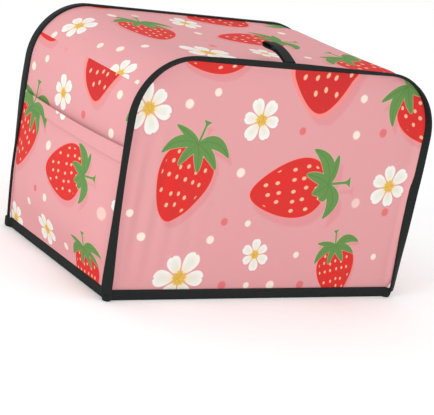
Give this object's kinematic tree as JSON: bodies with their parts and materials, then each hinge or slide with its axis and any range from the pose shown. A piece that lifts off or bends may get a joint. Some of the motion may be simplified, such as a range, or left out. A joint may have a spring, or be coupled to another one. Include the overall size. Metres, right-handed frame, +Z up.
{
  "type": "toaster cover",
  "caption": "Fitted cloth cover with rounded top corners, tape-bound seams and hem, a patch pocket on the left side and a lifting loop on top.",
  "frame": {"origin": "middle of the underside of the top, where the cover rests on what it covers", "axes": "+X to the right as seen from the front, -Y to the front, +Z up"},
  "size_m": [0.3194, 0.192, 0.2159],
  "materials": {
    "printed_cloth": "matt plain-woven polyester, pink ground with a fruit, flower and dot print",
    "black_tape": "matt ribbed black binding tape"
  },
  "bodies": {
    "root": {"front_panel": "printed_cloth", "back_panel": "printed_cloth", "gusset": "printed_cloth", "side_pocket": "printed_cloth", "front_binding": "black_tape", "back_binding": "black_tape", "hem_binding": "black_tape", "top_loop": "black_tape"}
  },
  "joints": []
}
